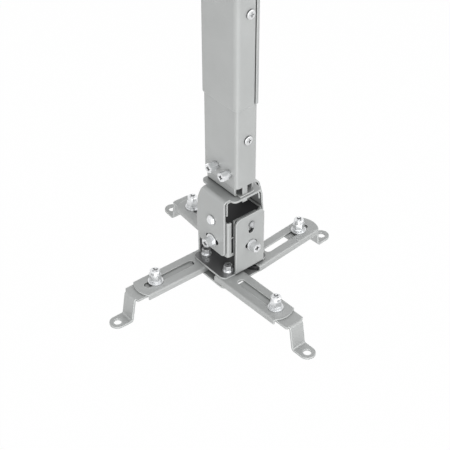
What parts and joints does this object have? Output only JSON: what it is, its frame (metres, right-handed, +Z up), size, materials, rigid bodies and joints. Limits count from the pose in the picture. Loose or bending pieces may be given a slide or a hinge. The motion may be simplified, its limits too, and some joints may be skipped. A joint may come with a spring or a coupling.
{
  "type": "projector ceiling mount",
  "caption": "Ceiling mount for a projector: sliding column, tilting and swinging head, and swinging slotted arms with adjustable bent feet.",
  "frame": {"origin": "centre of the ceiling plate's top face, where the mount meets the ceiling", "axes": "+Z up, along the column; the wide face of the column looks along -Y and +Y; its narrow face with the open seam and the adjusting screws looks along +X"},
  "size_m": [0.321, 0.306, 0.5705],
  "materials": {
    "silver_paint": "satin",
    "dark_steel": "satin",
    "zinc": "bright zinc plated",
    "black_nylon": "matt"
  },
  "bodies": {
    "ceiling": {"ceiling_plate": "silver_paint", "outer_sleeve": "silver_paint", "collar_bolts": "zinc", "collar_nuts": "zinc", "sleeve_clamp_screw": "zinc"},
    "column": {"inner_tube": "silver_paint", "upper_yoke": "silver_paint", "tube_insert": "silver_paint", "yoke_stiffener": "silver_paint", "tube_stop_screw": "zinc", "tube_bolts": "zinc", "tube_nuts": "zinc"},
    "cradle": {"cradle": "silver_paint", "pivot_block": "black_nylon", "tilt_pivot_front": "zinc", "tilt_lock_bolt_front": "zinc", "tilt_washer_front": "zinc", "tilt_spacers_front": "dark_steel", "tilt_pivot_rear": "zinc", "tilt_lock_bolt_rear": "zinc", "tilt_washer_rear": "zinc", "tilt_spacers_rear": "dark_steel", "swing_pivot_right": "zinc", "swing_lock_bolt_right": "zinc", "swing_washer_right": "zinc", "swing_spacers_right": "dark_steel", "swing_pivot_left": "zinc", "swing_lock_bolt_left": "zinc", "swing_washer_left": "zinc", "swing_spacers_left": "dark_steel"},
    "base": {"base_bracket": "silver_paint", "lower_plate": "silver_paint", "arm_spacers": "black_nylon", "arm_pivot_nuts": "zinc", "arm_pivot_bolt_1": "zinc", "arm_pivot_bolt_2": "zinc", "arm_pivot_bolt_3": "zinc", "arm_pivot_bolt_4": "zinc"},
    "arm_1": {"arm_1": "silver_paint"},
    "foot_1": {"foot_1": "silver_paint", "foot_washer_1": "zinc", "foot_bolt_1": "zinc", "foot_nut_1": "zinc"},
    "arm_2": {"arm_2": "silver_paint"},
    "foot_2": {"foot_2": "silver_paint", "foot_washer_2": "zinc", "foot_bolt_2": "zinc", "foot_nut_2": "zinc"},
    "arm_3": {"arm_3": "silver_paint"},
    "foot_3": {"foot_3": "silver_paint", "foot_washer_3": "zinc", "foot_bolt_3": "zinc", "foot_nut_3": "zinc"},
    "arm_4": {"arm_4": "silver_paint"},
    "foot_4": {"foot_4": "silver_paint", "foot_washer_4": "zinc", "foot_bolt_4": "zinc", "foot_nut_4": "zinc"}
  },
  "joints": [
    {"name": "column_slide", "type": "slide", "parent": "ceiling", "child": "column", "axis": [0, 0, -1], "range_m": [-0.036, 0.085]},
    {"name": "tilt", "type": "hinge", "parent": "column", "child": "cradle", "pos_m": [0.003, 0, -0.463], "axis": [0, 1, 0], "range_deg": [-15, 15]},
    {"name": "swing", "type": "hinge", "parent": "cradle", "child": "base", "pos_m": [0, 0.0055, -0.47], "axis": [1, 0, 0], "range_deg": [-10, 10]},
    {"name": "arm_1_swing", "type": "hinge", "parent": "base", "child": "arm_1", "pos_m": [-0.02, -0.02, -0.536], "axis": [0, 0, 1], "range_deg": [-25, 25]},
    {"name": "foot_1_slide", "type": "slide", "parent": "arm_1", "child": "foot_1", "axis": [-0.0244, -0.9997, 0], "range_m": [-0.006, 0.011]},
    {"name": "arm_2_swing", "type": "hinge", "parent": "base", "child": "arm_2", "pos_m": [0.02, -0.02, -0.536], "axis": [0, 0, 1], "range_deg": [-25, 25]},
    {"name": "foot_2_slide", "type": "slide", "parent": "arm_2", "child": "foot_2", "axis": [0.9994, 0.0349, 0], "range_m": [-0.007, 0.005]},
    {"name": "arm_3_swing", "type": "hinge", "parent": "base", "child": "arm_3", "pos_m": [0.02, 0.02, -0.536], "axis": [0, 0, 1], "range_deg": [-25, 25]},
    {"name": "foot_3_slide", "type": "slide", "parent": "arm_3", "child": "foot_3", "axis": [-0.0732, 0.9973, 0], "range_m": [-0.04, 0.01]},
    {"name": "arm_4_swing", "type": "hinge", "parent": "base", "child": "arm_4", "pos_m": [-0.02, 0.02, -0.536], "axis": [0, 0, 1], "range_deg": [-25, 25]},
    {"name": "foot_4_slide", "type": "slide", "parent": "arm_4", "child": "foot_4", "axis": [-0.998, 0.0628, 0], "range_m": [-0.05, 0.003]}
  ]
}
